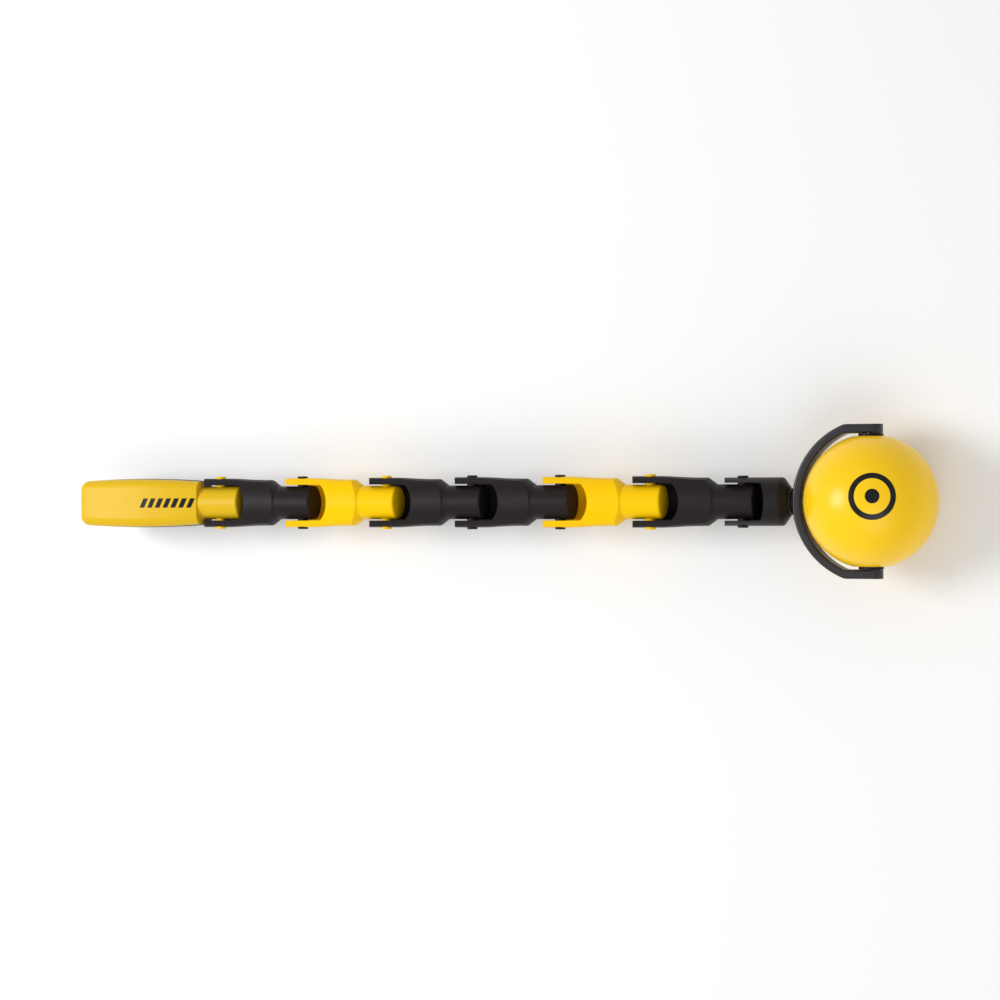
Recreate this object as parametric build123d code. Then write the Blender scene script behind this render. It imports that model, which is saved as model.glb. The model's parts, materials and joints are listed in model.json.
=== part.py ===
"""Jointed massage roller stick: handle, six hinged links, end link, swivelling yoke and ball.

Frame, in millimetres: the arm lies straight along +X from the handle's butt face, at x = 0, to the
ball.  The hinge pins run along Y.  The open side of every link's fork faces +Z, and the arm curls
the other way, towards -Z.
"""

import os

from build123d import *

# Overall sizes
HANDLE_REACH = 77.0  # butt face to the first hinge pin
LINK_PITCH = 46.4  # hinge pin to hinge pin along one link
LINK_COUNT = 6
BALL_REACH = 62.3  # last hinge pin to the ball's centre
BALL_DIA = 63.5

# Hinges: round neck of one piece in the fork of the next
HINGE_MAX_DEG = 30.0  # how far each hinge curls from straight
NECK_DIA = 16.8
NECK_TAIL = 6.7  # neck's end past its pin
NECK_EDGE = 1.0  # rounding of the neck's end
PIN_DIA = 5.2
PIN_STICK_OUT = 0.9  # pin's end past the ear of a link
PIN_EDGE = 0.45
PIN_EAR_PLAY = 0.05  # radial, pin turning in an ear
PRESS_PLAY = 0.01  # radial, pieces fixed in each other
FORK_SIDE_GAP = 0.7  # neck to ear on each side
FORK_BACK_GAP = 0.3  # neck to the fork's back wall
FORK_DIA = 25.0
EAR_TIP = 8.8  # radius of an ear's round end about the pin
NOTCH_CORNER = 12.0  # pin to where the notch's round end starts
NOTCH_END = 16.6  # pin to the notch's deepest point
NOTCH_EDGE = 0.5  # chamfer of the notch's rim

# Link body between its fork and its neck
WAIST_DIA = 23.7
COLLAR_DIA = 23.3
WAIST_AT = 19.0  # waist's place from the fork pin
COLLAR_BACK = 17.2  # collar's end before the next pin
SHOULDER_BACK = 12.6  # neck's start before the next pin
SHOULDER_EDGE = 1.2
FRONT_LEVEL = 9.0  # centre line to the link's flattened front
FRONT_CROWN_R = 16.0  # radius across that front

# Handle: yellow front shell with the first neck, and a dark rear cover screwed to it
HANDLE_BODY = 67.2  # length of the grip
HANDLE_WIDTH = 24.6
HANDLE_DEPTH = 27.0
HANDLE_CROWN = 0.7  # how far each side bows out along its length
HANDLE_SIDE_TAPER = 1.4  # how far each side pulls in at the neck
HANDLE_FACE_TAPER = 4.5  # how far the front and the back slope down to the neck
HANDLE_TAIL = 12.4  # the first neck's end past its pin
HANDLE_CORNER = 5.0  # round corners at the butt, seen from the front
HANDLE_EDGE = 4.4  # round long edges
HANDLE_WALL = 2.6
COVER_PROUD = 0.3  # rear cover stands this far proud of the front shell
COVER_JOINT = 0.1  # gap between front shell and rear cover
NECK_BLOCK = 14.0  # solid root of the neck inside the grip
SCREW_POSTS = ((12.0, 0.0), (28.0, 0.0), (44.0, 0.0))
POST_DIA = 7.0
COVER_SCREW_DIA = 3.0
COVER_SCREW_HEAD_DIA = 5.6
COVER_SCREW_HEAD = 2.0
COVER_SCREW_LENGTH = 12.0
COVER_SCREW_FLOOR = 1.6  # cover left under a screw head
HEAD_PLAY = 0.25  # radial, screw head in its pocket

# End link and the swivel in its nose
END_DIA = 23.2
END_BODY = 20.0  # pin to where the nose starts
NOSE_END = 23.2
NOSE_DIA = 14.4
END_NOTCH_CORNER = 10.6
END_NOTCH_END = 13.2
SWIVEL_POCKET_END = 17.2  # floor of the pocket for the inner washer and the screw's head
SWIVEL_DIA = 6.0
SWIVEL_THREAD_DIA = 4.0
SWIVEL_PLAY = 0.06  # radial, swivel screw turning in the nose
SWIVEL_HEAD_DIA = 9.2
SWIVEL_HEAD = 2.4
SWIVEL_SOCKET_DIA = 4.0
SWIVEL_SOCKET = 1.5
WASHER_IN_DIA = 10.0
WASHER_IN = 0.8
WASHER_OUT_DIA = 12.6
WASHER_OUT = 1.2
FACE_PLAY = 0.1  # between faces that slide on each other
SPOT_PLAY = 0.25  # radial, inner washer in its pocket

# Yoke
YOKE_ARC_OUT = 38.9  # outer radius of the bow
YOKE_ARC_SHIFT = 2.0  # bow's centre past the ball's centre
YOKE_BAND = 4.0
YOKE_DEPTH = 11.4
YOKE_ARM_OUT = 36.4  # outer face of the straight arms from the centre line
YOKE_ARM_IN = 32.1
YOKE_BEND = 6.0  # rounding where the bow meets an arm
YOKE_EDGE = 1.1
YOKE_BOSS_DIA = 8.4

# Ball and its axle
BALL_FLAT = 30.6  # centre to the flat at each pole
AXLE_DIA = 5.0
AXLE_PLAY = 0.05  # radial, bush turning on the axle
AXLE_SEAT = 1.5  # axle's end in the arm
BUSH_DIA = 8.0
BUSH_LENGTH = 14.0
BUSH_FLANGE_DIA = 11.8
BUSH_FLANGE = 1.3
AXLE_SCREW_DIA = 3.0
AXLE_SCREW_HEAD_DIA = 5.6
AXLE_SCREW_HEAD = 1.4
AXLE_SCREW_POCKET = 1.6
AXLE_SCREW_LENGTH = 11.0

# Worked out from the sizes above
SLOT_HALF = NECK_DIA / 2 + FORK_SIDE_GAP
CHANNEL_R = NECK_DIA / 2 + FORK_BACK_GAP
LAST_PIN = HANDLE_REACH + LINK_COUNT * LINK_PITCH
BALL_X = LAST_PIN + BALL_REACH
FAR = 100.0  # longer than any cut needs


def turned(outline):
    """Solid turned about the X axis from an outline of (x, radius) points."""
    return revolve(make_face(Polyline(*outline, close=True)), Axis.X)


def rod_x(radius, start, end):
    """Round bar along X between two places."""
    return Pos((start + end) / 2, 0, 0) * Rot(0, 90, 0) * Cylinder(radius, end - start)


def rod_y(radius, start, end):
    """Round bar along Y between two places."""
    return Pos(0, (start + end) / 2, 0) * Rot(90, 0, 0) * Cylinder(radius, end - start)


def rod_z(radius, start, end):
    """Round bar along Z between two places."""
    return Pos(0, 0, (start + end) / 2) * Cylinder(radius, end - start)


def block(low, high):
    """Box between its lowest and highest corners."""
    size = [b - a for a, b in zip(low, high)]
    middle = [(a + b) / 2 for a, b in zip(low, high)]
    return Pos(*middle) * Box(*size)


def notch_plan(corner, deepest):
    """The notch seen from the front: two straight sides and a round end."""
    corners = (corner, SLOT_HALF), (0, SLOT_HALF), (0, -SLOT_HALF), (corner, -SLOT_HALF)
    sides = Polyline(*corners)
    end = ThreePointArc(corners[3], (deepest, 0), corners[0])
    return make_face(Curve() + [sides, end])


def fork_cut(fork_dia, corner, deepest):
    """All that is taken out of a round body to make the fork about a pin at the origin."""
    reach = fork_dia / 2 + 1
    plan = notch_plan(corner, deepest)
    front = extrude(plan, reach)
    back = extrude(plan, -reach) & rod_x(CHANNEL_R, -1, deepest + 1)
    between_ears = block((-EAR_TIP - 1, -SLOT_HALF, -reach), (0, SLOT_HALF, reach))
    ear_ends = block((-EAR_TIP - 1, -reach, -reach), (0, reach, reach)) - rod_y(EAR_TIP, -reach, reach)
    curled_neck = Rot(0, -HINGE_MAX_DEG, 0) * rod_x(CHANNEL_R, -reach, 0)
    ear_holes = rod_y(PIN_DIA / 2 + PIN_EAR_PLAY, -reach, reach)
    return front + back + between_ears + ear_ends + curled_neck + ear_holes


def notch_rim(fork):
    """The outer edge of the notch's round end, which is eased."""
    edges = fork.edges().filter_by(lambda e: NOTCH_CORNER < e.center().X < NOTCH_END + NOTCH_EDGE)
    return edges.filter_by(lambda e: e.center().Z > FORK_SIDE_GAP and e.bounding_box().size.Y > SLOT_HALF)


def neck_end_edge(piece, end):
    """The round edge at the end of a neck."""
    return piece.edges().filter_by(GeomType.CIRCLE).filter_by(lambda e: abs(e.center().X - end) < 0.01)


def link_body():
    """A link's body turned about X, with its waist and collar, from its ears to its neck's end."""
    collar = LINK_PITCH - COLLAR_BACK
    neck_start = LINK_PITCH - SHOULDER_BACK
    neck_end = LINK_PITCH + NECK_TAIL
    ears = Line((-EAR_TIP, FORK_DIA / 2), (EAR_TIP / 2, FORK_DIA / 2))
    level = (1, 0)
    waist = Spline(
        (EAR_TIP / 2, FORK_DIA / 2),
        (WAIST_AT, WAIST_DIA / 2),
        (collar, COLLAR_DIA / 2),
        tangents=(level, level),
    )
    rest = Polyline(
        (collar, COLLAR_DIA / 2),
        (neck_start, NECK_DIA / 2),
        (neck_end, NECK_DIA / 2),
        (neck_end, 0),
        (-EAR_TIP, 0),
        (-EAR_TIP, FORK_DIA / 2),
    )
    return revolve(make_face(Curve() + [ears, waist, rest]), Axis.X)


def link():
    """One link, with its fork pin at the origin and its neck pin one pitch along X."""
    body = link_body()
    body = fillet(neck_end_edge(body, LINK_PITCH + NECK_TAIL), NECK_EDGE)
    body = fillet(neck_end_edge(body, LINK_PITCH - COLLAR_BACK), SHOULDER_EDGE)
    crown = Pos(0, 0, FRONT_LEVEL - FRONT_CROWN_R) * rod_x(FRONT_CROWN_R, -FAR, FAR)
    body = body & (crown + block((-FAR, -FAR, -FAR), (FAR, FAR, 0)))
    body = body - fork_cut(FORK_DIA, NOTCH_CORNER, NOTCH_END)
    body = chamfer(notch_rim(body), NOTCH_EDGE)
    return body - Pos(LINK_PITCH, 0, 0) * rod_y(PIN_DIA / 2 + PRESS_PLAY, -NECK_DIA, NECK_DIA)


def hinge_pin(fork_dia):
    """A pin through the neck and both ears, with eased ends."""
    half = fork_dia / 2 + PIN_STICK_OUT
    pin = rod_y(PIN_DIA / 2, -half, half)
    return fillet(pin.edges().filter_by(GeomType.CIRCLE), PIN_EDGE)


def grip_outline(half_size, taper, inset):
    """One view of the grip: bowed sides, round butt corners, pulled in at the neck."""
    half = half_size - HANDLE_CROWN - inset
    butt = inset
    neck = HANDLE_BODY - inset
    corner = max(HANDLE_CORNER - inset, 1.0)
    half_neck = half_size - taper - inset
    bow = ThreePointArc((butt + corner, half), (HANDLE_BODY / 2, half + HANDLE_CROWN), (neck, half_neck))
    other = ThreePointArc((butt + corner, -half), (HANDLE_BODY / 2, -half - HANDLE_CROWN), (neck, -half_neck))
    ends = [
        Line((neck, half_neck), (neck, -half_neck)),
        Line((butt, half - corner), (butt, corner - half)),
        RadiusArc((butt, half - corner), (butt + corner, half), corner),
        RadiusArc((butt + corner, -half), (butt, corner - half), corner),
    ]
    return make_face(Curve() + [bow, other] + ends)


def grip_block(inset):
    """The grip's two views crossed, with sharp long edges, drawn in by an inset."""
    plan = grip_outline(HANDLE_WIDTH / 2, HANDLE_SIDE_TAPER, inset)
    side = grip_outline(HANDLE_DEPTH / 2, HANDLE_FACE_TAPER, inset)
    return extrude(plan, HANDLE_DEPTH, both=True) & (Rot(90, 0, 0) * extrude(side, HANDLE_DEPTH, both=True))


def grip_form(inset, edge):
    """The grip's full form, both halves together, with its long edges rounded."""
    form = grip_block(inset)
    long_edges = form.edges().filter_by(lambda e: e.bounding_box().size.X > HANDLE_BODY / 2)
    return fillet(long_edges, edge)


def screw_posts(radius, low, high):
    """A round post, or a hole, at each of the cover screws."""
    return [Pos(x, y, 0) * rod_z(radius, low, high) for x, y in SCREW_POSTS]


def handle_pieces():
    """Front shell with the first neck, rear cover and the screws that hold them together."""
    outer = grip_form(0, HANDLE_EDGE)
    cover_outer = grip_form(-COVER_PROUD, HANDLE_EDGE + COVER_PROUD)
    hollow = grip_block(HANDLE_WALL)
    hollow = hollow - block((HANDLE_BODY - NECK_BLOCK, -FAR, -FAR), (FAR, FAR, FAR))
    front_half = block((-FAR, -FAR, 0), (FAR, FAR, FAR))
    rear_half = block((-FAR, -FAR, -FAR), (HANDLE_BODY, FAR, -COVER_JOINT))
    back = -HANDLE_DEPTH / 2

    root = rod_x(NECK_DIA / 2, HANDLE_BODY - NECK_BLOCK, HANDLE_REACH + HANDLE_TAIL)
    root = fillet(neck_end_edge(root, HANDLE_REACH + HANDLE_TAIL), NECK_EDGE)
    front = (outer - hollow) & front_half
    posts_top = (HANDLE_DEPTH - HANDLE_WALL) / 2
    for post in screw_posts(POST_DIA / 2, 0, posts_top):
        front = front + post
    front = front + root
    floor = -COVER_SCREW_FLOOR - COVER_JOINT
    screw_end = floor + COVER_SCREW_LENGTH
    for hole in screw_posts(COVER_SCREW_DIA / 2 + PRESS_PLAY, -1, screw_end + COVER_JOINT):
        front = front - hole
    front = front - Pos(HANDLE_REACH, 0, 0) * rod_y(PIN_DIA / 2 + PRESS_PLAY, -NECK_DIA, NECK_DIA)

    cover = (cover_outer - hollow) & rear_half
    for post in screw_posts(POST_DIA / 2, back + HANDLE_WALL - 0.5, -COVER_JOINT):
        cover = cover + post
    cover = cover - rod_x(NECK_DIA / 2 + COVER_JOINT, HANDLE_BODY - NECK_BLOCK - 0.5, FAR)
    for pocket in screw_posts(COVER_SCREW_HEAD_DIA / 2 + HEAD_PLAY, back - 1, floor):
        cover = cover - pocket
    for hole in screw_posts(COVER_SCREW_DIA / 2 + HEAD_PLAY, back, 1):
        cover = cover - hole

    screws = []
    for x, y in SCREW_POSTS:
        shank = rod_z(COVER_SCREW_DIA / 2, floor - COVER_SCREW_HEAD, screw_end)
        head = rod_z(COVER_SCREW_HEAD_DIA / 2, floor - COVER_SCREW_HEAD, floor)
        screws.append(Pos(x, y, 0) * (shank + head))
    return front, cover, screws


def end_link():
    """End link: fork on one side, nose with the swivel's bore on the other."""
    body = turned(
        [
            (-EAR_TIP, 0),
            (-EAR_TIP, END_DIA / 2),
            (END_BODY, END_DIA / 2),
            (NOSE_END, NOSE_DIA / 2),
            (NOSE_END, 0),
        ]
    )
    body = fillet(neck_end_edge(body, END_BODY), SHOULDER_EDGE)
    body = body - fork_cut(END_DIA, END_NOTCH_CORNER, END_NOTCH_END)
    body = body - rod_x(WASHER_IN_DIA / 2 + SPOT_PLAY, END_NOTCH_CORNER, SWIVEL_POCKET_END)
    return body - rod_x(SWIVEL_DIA / 2 + SWIVEL_PLAY, END_NOTCH_CORNER, NOSE_END + 1)


def washer_x(outer_dia, start, thickness):
    """Flat washer on the swivel screw."""
    hole = rod_x(SWIVEL_DIA / 2 + SWIVEL_PLAY, start - 1, start + thickness + 1)
    return rod_x(outer_dia / 2, start, start + thickness) - hole


def swivel_pieces():
    """Inner washer, outer washer and shouldered swivel screw, about the last hinge pin."""
    inner_at = SWIVEL_POCKET_END - FACE_PLAY - WASHER_IN
    inner = washer_x(WASHER_IN_DIA, inner_at, WASHER_IN)
    outer = washer_x(WASHER_OUT_DIA, NOSE_END + FACE_PLAY, WASHER_OUT)
    head_at = inner_at - FACE_PLAY
    screw = rod_x(SWIVEL_HEAD_DIA / 2, head_at - SWIVEL_HEAD, head_at)
    screw = screw + rod_x(SWIVEL_DIA / 2, head_at - 1, boss_start())
    screw = screw + rod_x(SWIVEL_THREAD_DIA / 2, head_at, yoke_left() + YOKE_BAND - FACE_PLAY)
    socket = extrude(Rot(0, 90, 0) * RegularPolygon(SWIVEL_SOCKET_DIA / 2, 6), SWIVEL_SOCKET)
    return inner, outer, screw - Pos(head_at - SWIVEL_HEAD, 0, 0) * socket


def boss_start():
    """Where the yoke's boss meets the outer washer, from the last hinge pin."""
    return NOSE_END + WASHER_OUT + 2 * FACE_PLAY


def yoke_left():
    """Outer face of the yoke's bow on the centre line, from the last hinge pin."""
    return BALL_REACH + YOKE_ARC_SHIFT - YOKE_ARC_OUT


def bow_line(radius, half_gap, tip):
    """One side of the yoke's band: a straight arm, the bow about its centre and the other arm."""
    centre = BALL_REACH + YOKE_ARC_SHIFT
    arm_start = centre - (radius**2 - half_gap**2) ** 0.5
    bow = ThreePointArc((arm_start, half_gap), (centre - radius, 0), (arm_start, -half_gap))
    arms = [Line((arm_start, side * half_gap), (tip, side * half_gap)) for side in (-1, 1)]
    return [bow] + arms


def yoke():
    """Bent band round the ball, with a boss for the swivel screw and seats for the axle."""
    tip = BALL_REACH + YOKE_DEPTH / 2
    outer = bow_line(YOKE_ARC_OUT, YOKE_ARM_OUT, tip)
    inner = bow_line(YOKE_ARC_OUT - YOKE_BAND, YOKE_ARM_IN, tip)
    ends = [Line((tip, side * YOKE_ARM_IN), (tip, side * YOKE_ARM_OUT)) for side in (-1, 1)]
    band = extrude(make_face(Curve() + outer + inner + ends), YOKE_DEPTH / 2, both=True)
    bends = band.edges().filter_by(Axis.Z).filter_by(lambda e: e.center().X < BALL_REACH)
    band = fillet(bends, YOKE_BEND)
    rims = band.edges().filter_by(lambda e: abs(abs(e.center().Z) - YOKE_DEPTH / 2) < 0.01)
    rims = rims.filter_by(lambda e: e.bounding_box().size.X > YOKE_EDGE)
    band = fillet(rims, YOKE_EDGE)
    reach = YOKE_ARM_OUT + 1
    axle_side = block((BALL_REACH, -reach, -YOKE_DEPTH), (FAR, reach, YOKE_DEPTH))
    round_tip = Pos(BALL_REACH, 0, 0) * rod_y(YOKE_DEPTH / 2, -reach, reach)
    band = band - (axle_side - round_tip)
    body = band + rod_x(YOKE_BOSS_DIA / 2, boss_start(), yoke_left() + YOKE_BAND / 2)
    body = body - rod_x(SWIVEL_THREAD_DIA / 2 + PRESS_PLAY, 0, yoke_left() + YOKE_BAND + 1)
    seat = YOKE_ARM_IN + AXLE_SEAT
    pocket = YOKE_ARM_OUT - AXLE_SCREW_POCKET
    for side in (-1, 1):
        cuts = rod_y(AXLE_DIA / 2 + PRESS_PLAY, 0, seat)
        cuts = cuts + rod_y(AXLE_SCREW_DIA / 2 + PRESS_PLAY, 0, reach)
        cuts = cuts + rod_y(AXLE_SCREW_HEAD_DIA / 2 + HEAD_PLAY, pocket, reach)
        body = body - Pos(BALL_REACH, 0, 0) * Rot(0, 0, 90 - 90 * side) * cuts
    return body


def axle_screw():
    """Screw that holds one end of the axle in its arm, with its head outwards along +Y."""
    face = YOKE_ARM_OUT - AXLE_SCREW_POCKET
    head = rod_y(AXLE_SCREW_HEAD_DIA / 2, face, face + AXLE_SCREW_HEAD)
    shank = rod_y(AXLE_SCREW_DIA / 2, face - AXLE_SCREW_LENGTH, face + AXLE_SCREW_HEAD / 2)
    cross = Pos(0, face + AXLE_SCREW_HEAD, 0) * (Box(3.2, 1.2, 0.7) + Box(0.7, 1.2, 3.2))
    return head + shank - cross


def axle():
    """Round axle, tapped at both ends for its screws."""
    half = YOKE_ARM_IN + AXLE_SEAT - FACE_PLAY
    bar = rod_y(AXLE_DIA / 2, -half, half)
    depth = AXLE_SCREW_LENGTH + 1
    tapped = AXLE_SCREW_DIA / 2 + PRESS_PLAY
    return bar - rod_y(tapped, half - depth, half + 1) - rod_y(tapped, -half - 1, depth - half)


def ball():
    """Ball with a flat at each pole, bored through for its bushes and the axle."""
    body = Sphere(BALL_DIA / 2) & block((-FAR, -BALL_FLAT, -FAR), (FAR, BALL_FLAT, FAR))
    body = body - rod_y(AXLE_DIA / 2 + 4 * AXLE_PLAY, -FAR, FAR)
    for side in (-1, 1):
        seat = rod_y(BUSH_DIA / 2 + PRESS_PLAY, BALL_FLAT - BUSH_LENGTH, FAR)
        body = body - Rot(0, 0, 90 - 90 * side) * seat
    return body


def axle_bush():
    """Flanged bush in the ball's pole, on the +Y side."""
    bush = rod_y(BUSH_DIA / 2, BALL_FLAT - BUSH_LENGTH, BALL_FLAT + BUSH_FLANGE)
    bush = bush + rod_y(BUSH_FLANGE_DIA / 2, BALL_FLAT, BALL_FLAT + BUSH_FLANGE)
    return bush - rod_y(AXLE_DIA / 2 + AXLE_PLAY, 0, FAR)


def save(name, shape):
    """Writes one node's STEP file."""
    export_step(shape, os.path.join("parts", name + ".step"))


os.makedirs("parts", exist_ok=True)

handle_front, handle_cover, cover_screws = handle_pieces()
save("handle_front_shell", handle_front)
save("handle_rear_cover", handle_cover)
save("handle_cover_screws", Compound(children=cover_screws))

one_link = link()
for number in range(LINK_COUNT):
    pin_x = HANDLE_REACH + number * LINK_PITCH
    save(f"link_{number + 1}", Pos(pin_x, 0, 0) * one_link)
    save(f"hinge_pin_{number + 1}", Pos(pin_x, 0, 0) * hinge_pin(FORK_DIA))

at_last_pin = Pos(LAST_PIN, 0, 0)
save(f"hinge_pin_{LINK_COUNT + 1}", at_last_pin * hinge_pin(END_DIA))
save("end_link", at_last_pin * end_link())
inner_washer, outer_washer, swivel_screw = swivel_pieces()
save("swivel_inner_washer", at_last_pin * inner_washer)
save("swivel_outer_washer", at_last_pin * outer_washer)
save("swivel_screw", at_last_pin * swivel_screw)
save("yoke", at_last_pin * yoke())

at_ball = Pos(BALL_X, 0, 0)
save("ball", at_ball * ball())
save("axle", at_ball * axle())
for label, turn in (("upper", 0), ("lower", 180)):
    save(f"axle_bush_{label}", at_ball * Rot(0, 0, turn) * axle_bush())
    save(f"axle_screw_{label}", at_ball * Rot(0, 0, turn) * axle_screw())
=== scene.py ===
import json
import math

import bpy
import numpy as np
from mathutils import Matrix, Vector


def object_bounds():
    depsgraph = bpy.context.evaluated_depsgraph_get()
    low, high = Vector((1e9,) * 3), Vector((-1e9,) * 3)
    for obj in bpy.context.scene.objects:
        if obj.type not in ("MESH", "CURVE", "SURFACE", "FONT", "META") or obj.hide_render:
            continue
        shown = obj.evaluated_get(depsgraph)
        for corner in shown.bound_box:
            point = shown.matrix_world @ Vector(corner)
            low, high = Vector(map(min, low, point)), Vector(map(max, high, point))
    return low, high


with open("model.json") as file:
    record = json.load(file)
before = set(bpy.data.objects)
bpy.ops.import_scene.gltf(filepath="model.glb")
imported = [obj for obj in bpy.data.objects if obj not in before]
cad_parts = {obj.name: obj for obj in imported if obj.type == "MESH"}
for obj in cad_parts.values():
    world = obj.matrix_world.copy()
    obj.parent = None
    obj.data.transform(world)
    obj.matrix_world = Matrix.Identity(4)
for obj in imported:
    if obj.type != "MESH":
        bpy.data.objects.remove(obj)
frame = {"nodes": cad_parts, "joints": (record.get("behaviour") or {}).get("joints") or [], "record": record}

cad_low, cad_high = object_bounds()
nodes = frame["nodes"]
joint_at = {j["name"]: Vector(j["pos_m"]) for j in frame["joints"]}


class Wire:
    """One shader socket; Python arithmetic on it adds the Math nodes that the expression needs."""

    def __init__(self, tree, socket):
        self.tree = tree
        self.socket = socket

    def node(self, kind, settings=None, **inputs):
        """Adds a node, sets it up first, then gives its sockets values or links."""
        made = self.tree.nodes.new(kind)
        for name, value in (settings or {}).items():
            setattr(made, name, value)
        for name, value in inputs.items():
            key = int(name[1:]) if name[0] == "i" and name[1:].isdigit() else name.replace("_", " ")
            if isinstance(value, Wire):
                self.tree.links.new(value.socket, made.inputs[key])
            else:
                made.inputs[key].default_value = value
        return made

    def out(self, kind, settings=None, output=0, **inputs):
        """The named output of a new node, wrapped."""
        return Wire(self.tree, self.node(kind, settings, **inputs).outputs[output])

    def math(self, operation, *values):
        """One Math node over this socket or numbers."""
        terms = {f"i{k}": value for k, value in enumerate(values)}
        return self.out("ShaderNodeMath", {"operation": operation}, **terms)

    def __add__(self, other):
        return self.math("ADD", self, other)

    __radd__ = __add__

    def __sub__(self, other):
        return self.math("SUBTRACT", self, other)

    def __rsub__(self, other):
        return self.math("SUBTRACT", other, self)

    def __mul__(self, other):
        return self.math("MULTIPLY", self, other)

    __rmul__ = __mul__

    def below(self, limit):
        """1 where this value is under the limit, 0 elsewhere."""
        return self.math("LESS_THAN", self, limit)

    def blend(self, first, second):
        """A colour that goes from the first to the second as this value goes from 0 to 1."""
        mix = self.node("ShaderNodeMix", {"data_type": "RGBA", "clamp_factor": True})
        for key, value in ((0, self), (6, first), (7, second)):
            if isinstance(value, Wire):
                self.tree.links.new(value.socket, mix.inputs[key])
            else:
                mix.inputs[key].default_value = value if key == 0 else (*value, 1.0)
        return Wire(self.tree, mix.outputs[2])


def new_finish(name, roughness, **constants):
    """A material with one Principled shader; constants go on the shader's own sockets."""
    material = bpy.data.materials.new(name)
    material.use_nodes = True
    tree = material.node_tree
    shader = tree.nodes["Principled BSDF"]
    shader.inputs["Roughness"].default_value = roughness
    for key, value in constants.items():
        shader.inputs[key.replace("_", " ")].default_value = value
    place = tree.nodes.new("ShaderNodeTexCoord").outputs["Object"]
    return material, shader, Wire(tree, place)


def moulded(name, colour, shade, roughness, grain=2250.0, bump=0.03, **constants):
    """Moulded plastic: slow flow marks in the colour, a fine spark-eroded grain in the surface,
    and a roughness that drifts a little from place to place."""
    material, shader, place = new_finish(name, roughness, **constants)
    flow = place.out("ShaderNodeTexNoise", Vector=place, Scale=38.0, Detail=3.0)
    drift = place.out("ShaderNodeTexNoise", Vector=place, Scale=160.0, Detail=4.0)
    fine = place.out("ShaderNodeTexNoise", Vector=place, Scale=grain, Detail=2.0)
    tree = place.tree
    body = flow.blend(colour, shade)
    tree.links.new(body.socket, shader.inputs["Base Color"])
    drift_range = 0.14
    wandering = drift * drift_range + (roughness - drift_range / 2)
    tree.links.new(wandering.socket, shader.inputs["Roughness"])
    relief = place.out("ShaderNodeBump", Strength=bump, Distance=0.0002, Height=fine + drift * 0.5)
    tree.links.new(relief.socket, shader.inputs["Normal"])
    return material, shader, place, body


def dress(material, *names):
    """Puts a material on CAD nodes, in place of the one they came with."""
    for name in names:
        mesh = nodes[name].data
        mesh.materials.clear()
        mesh.materials.append(material)


# Camera, floor and lights -----------------------------------------------------------------
# A long lens looks down on the stick as it lies with its forks open upwards, from a little way
# past the middle towards the ball.  The floor is where the ball rests.
AIM = Vector((0.2309, 0.0011, 0.0))
CAMERA_DISTANCE = 1.33
CAMERA_TILT = math.radians(21.0)
CAMERA_ROLL = math.radians(0.15)
LENS_MM = 96.75

toward = Vector((math.sin(CAMERA_TILT), 0, math.cos(CAMERA_TILT)))
across = Vector((math.cos(CAMERA_TILT), 0, -math.sin(CAMERA_TILT)))
upward = Vector((0, 1, 0))
right = across * math.cos(CAMERA_ROLL) - upward * math.sin(CAMERA_ROLL)
top = upward * math.cos(CAMERA_ROLL) + across * math.sin(CAMERA_ROLL)
camera = bpy.data.objects.new("camera", bpy.data.cameras.new("camera"))
camera.data.lens = LENS_MM
camera.data.sensor_width = 36.0
camera.data.clip_end = 20.0
camera.matrix_world = Matrix.Translation(AIM + toward * CAMERA_DISTANCE) @ Matrix(
    (right, top, toward)
).transposed().to_4x4()
bpy.context.scene.collection.objects.link(camera)
bpy.context.scene.camera = camera

FLOOR_HALF = 6.0
FLOOR_PALE = (0.86, 0.86, 0.86)
FLOOR_PALER = (0.9, 0.9, 0.9)
floor_z = cad_low[2]
floor_mesh = bpy.data.meshes.new("floor")
floor_mesh.from_pydata(
    [(x * FLOOR_HALF, y * FLOOR_HALF, floor_z) for x, y in ((-1, -1), (1, -1), (1, 1), (-1, 1))],
    [],
    [(0, 1, 2, 3)],
)
floor = bpy.data.objects.new("floor", floor_mesh)
bpy.context.scene.collection.objects.link(floor)
floor_finish, floor_shader, floor_place = new_finish("pale_floor", 0.9)
speckle = floor_place.out("ShaderNodeTexNoise", Vector=floor_place, Scale=3.0, Detail=2.0)
floor_colour = speckle.blend(FLOOR_PALE, FLOOR_PALER)
floor_place.tree.links.new(floor_colour.socket, floor_shader.inputs["Base Color"])
floor_mesh.materials.append(floor_finish)


def softbox(name, place, size, watts):
    """A square area light that faces the middle of the stick."""
    lamp = bpy.data.lights.new(name, "AREA")
    lamp.shape = "SQUARE"
    lamp.size = size
    lamp.energy = watts
    holder = bpy.data.objects.new(name, lamp)
    holder.location = place
    holder.rotation_euler = (AIM - Vector(place)).to_track_quat("-Z", "Y").to_euler()
    bpy.context.scene.collection.objects.link(holder)


softbox("key", (-0.55, 0.10, 0.95), 0.5, 9.0)
softbox("fill", (0.9, -0.9, 1.3), 1.2, 7.0)

SKY_ON_PARTS = 0.60
SKY_SEEN_MORE = 0.40
world = bpy.data.worlds.new("studio")
bpy.context.scene.world = world
world.use_nodes = True
sky = world.node_tree
backdrop = sky.nodes["Background"]
rays = Wire(sky, sky.nodes.new("ShaderNodeLightPath").outputs["Is Camera Ray"])
backdrop.inputs["Color"].default_value = (1, 1, 1, 1)
sky.links.new((rays * SKY_SEEN_MORE + SKY_ON_PARTS).socket, backdrop.inputs["Strength"])
bpy.context.scene.view_settings.view_transform = "Standard"


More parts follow.
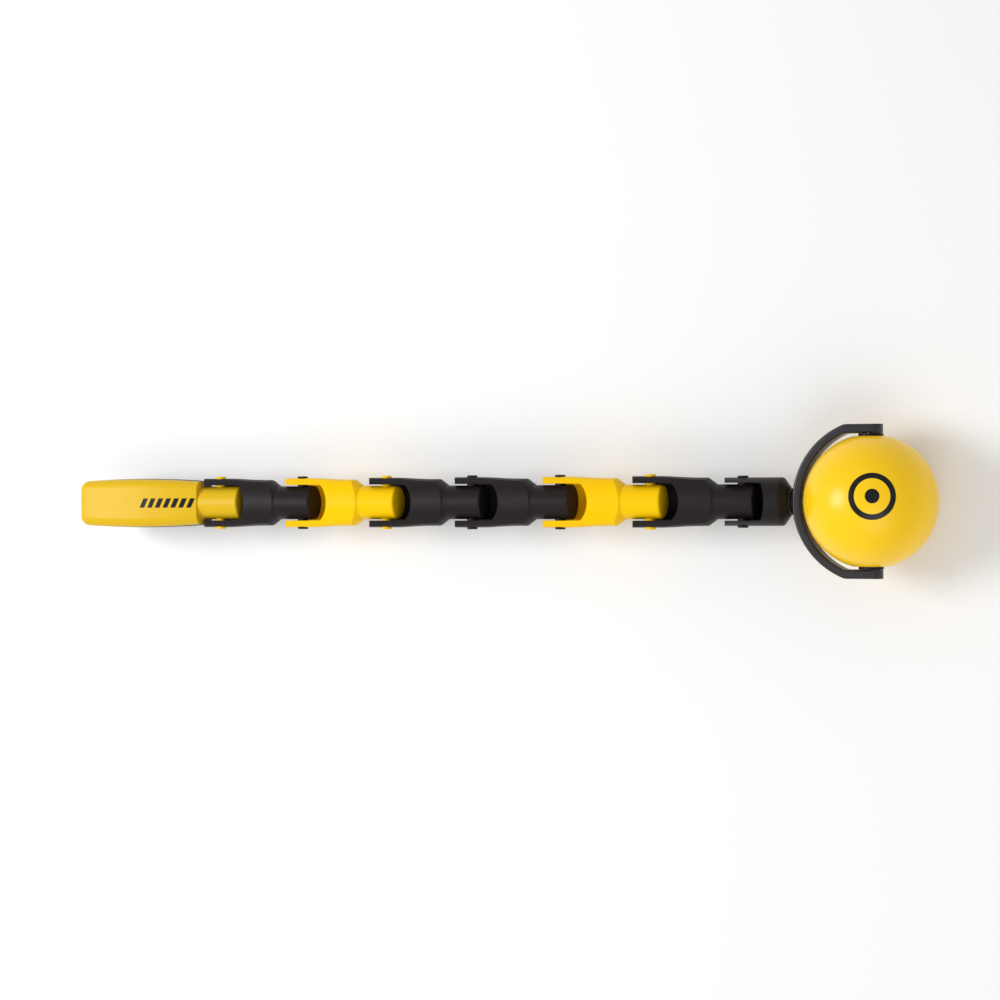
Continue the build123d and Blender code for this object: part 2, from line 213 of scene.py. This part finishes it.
# Links, pins and end link ---------------------------------------------------------------
# Six equal links and the end link are moulded nylon, black or bright yellow.  Each hinge pin is
# moulded in the colour of the piece whose neck it is pressed into.
LINK_YELLOW = (0.92, 0.56, 0.0015)
LINK_YELLOW_SHADE = (0.90, 0.53, 0.001)
LINK_BLACK = (0.012, 0.0085, 0.009)
LINK_BLACK_SHADE = (0.016, 0.0115, 0.012)

yellow_nylon = moulded(
    "link_yellow", LINK_YELLOW, LINK_YELLOW_SHADE, 0.40, bump=0.04, Specular_IOR_Level=0.08
)[0]
black_nylon = moulded(
    "link_black", LINK_BLACK, LINK_BLACK_SHADE, 0.48, bump=0.10, Specular_IOR_Level=0.16
)[0]
slot_of = {row["node"]: row["material_slot"] for row in frame["record"]["subparts"]}
for node, slot in slot_of.items():
    if slot in ("link_yellow", "link_black"):
        dress(yellow_nylon if slot == "link_yellow" else black_nylon, node)


# Handle -----------------------------------------------------------------------------------
# Satin yellow front shell with a printed row of slanted bars, and a dark rear cover.
HANDLE_YELLOW = (0.69, 0.44, 0.010)
HANDLE_YELLOW_SHADE = (0.665, 0.415, 0.008)
PRINT_INK = (0.004, 0.004, 0.004)
BARS_START = 0.0365
BARS_END = 0.0655
BARS_HALF_HEIGHT = 0.0024
BAR_PITCH = 0.0042
BAR_SLANT = 0.45
BAR_SHARE = 0.62

handle_finish, shader, place, body = moulded(
    "handle_yellow", HANDLE_YELLOW, HANDLE_YELLOW_SHADE, 0.36, bump=0.05, Specular_IOR_Level=0.16
)
axes = place.node("ShaderNodeSeparateXYZ", Vector=place)
x, y, z = (Wire(place.tree, axes.outputs[k]) for k in range(3))
slanted = x - y * BAR_SLANT
in_bar = (slanted * (1 / BAR_PITCH)).math("FRACT", slanted * (1 / BAR_PITCH)).below(BAR_SHARE)
in_row = y.math("ABSOLUTE", y).below(BARS_HALF_HEIGHT) * (0.0 - z).below(0.0)
in_length = slanted.below(BARS_END) * (0.0 - slanted).below(-BARS_START)
ink = in_bar * in_row * in_length
place.tree.links.new(ink.blend(body, PRINT_INK).socket, shader.inputs["Base Color"])
dress(handle_finish, "handle_front_shell")
GRIP_BLACK = (0.022, 0.020, 0.020)
GRIP_BLACK_SHADE = (0.030, 0.027, 0.026)
grip = moulded("grip_black", GRIP_BLACK, GRIP_BLACK_SHADE, 0.62, bump=0.3)[0]
dress(grip, "handle_rear_cover")


# Yoke -------------------------------------------------------------------------------------
# One bent band of satin nylon, a little bluer than the links.
YOKE_BLACK = (0.020, 0.018, 0.023)
YOKE_BLACK_SHADE = (0.026, 0.023, 0.029)
yoke_nylon = moulded(
    "yoke_black", YOKE_BLACK, YOKE_BLACK_SHADE, 0.34, bump=0.08, Specular_IOR_Level=0.4
)[0]
dress(yoke_nylon, "yoke")


# Ball -------------------------------------------------------------------------------------
# A smooth moulded ball with one printed mark: a ring and a dot, facing the open side.
BALL_YELLOW = (0.97, 0.61, 0.004)
BALL_YELLOW_SHADE = (0.95, 0.58, 0.003)
MARK_TILT = math.radians(14.0)
MARK_RISE = math.radians(4.5)
RING_MIDDLE = 0.0096
RING_HALF = 0.0013
DOT_RADIUS = 0.0034
MARK_INK = (0.004, 0.004, 0.004)

ball_finish, shader, place, body = moulded(
    "ball_yellow", BALL_YELLOW, BALL_YELLOW_SHADE, 0.28, bump=0.02, Specular_IOR_Level=0.3
)
centre = joint_at["ball_spin"]
facing = Vector((
    math.sin(MARK_TILT) * math.cos(MARK_RISE),
    math.sin(MARK_RISE),
    math.cos(MARK_TILT) * math.cos(MARK_RISE),
))
offset = place.out("ShaderNodeVectorMath", {"operation": "SUBTRACT"}, i0=place, i1=tuple(centre))
crossed = place.out("ShaderNodeVectorMath", {"operation": "CROSS_PRODUCT"}, i0=offset, i1=tuple(facing))
away = place.out("ShaderNodeVectorMath", {"operation": "LENGTH"}, output=1, i0=crossed)
along = place.out("ShaderNodeVectorMath", {"operation": "DOT_PRODUCT"}, output=1, i0=offset, i1=tuple(facing))
ring = (away - RING_MIDDLE).math("ABSOLUTE", away - RING_MIDDLE).below(RING_HALF)
dot = away.below(DOT_RADIUS)
ink = ring.math("MAXIMUM", ring, dot) * (0.0 - along).below(0.0)
place.tree.links.new(ink.blend(body, MARK_INK).socket, shader.inputs["Base Color"])
dress(ball_finish, "ball")


# Steel small parts ------------------------------------------------------------------------
# Screws, axle and washers are plated steel, with fine turning marks.
STEEL_DARK = (0.34, 0.34, 0.35)
STEEL_LIGHT = (0.46, 0.46, 0.47)
steel, shader, place = new_finish("plated_steel", 0.34, Metallic=1.0)
turning = place.out("ShaderNodeTexNoise", Vector=place, Scale=900.0, Detail=3.0)
tone = turning.blend(STEEL_DARK, STEEL_LIGHT)
place.tree.links.new(tone.socket, shader.inputs["Base Color"])
place.tree.links.new((turning * 0.2 + 0.26).socket, shader.inputs["Roughness"])
dress(steel, *(node for node, slot in slot_of.items() if slot == "steel"))
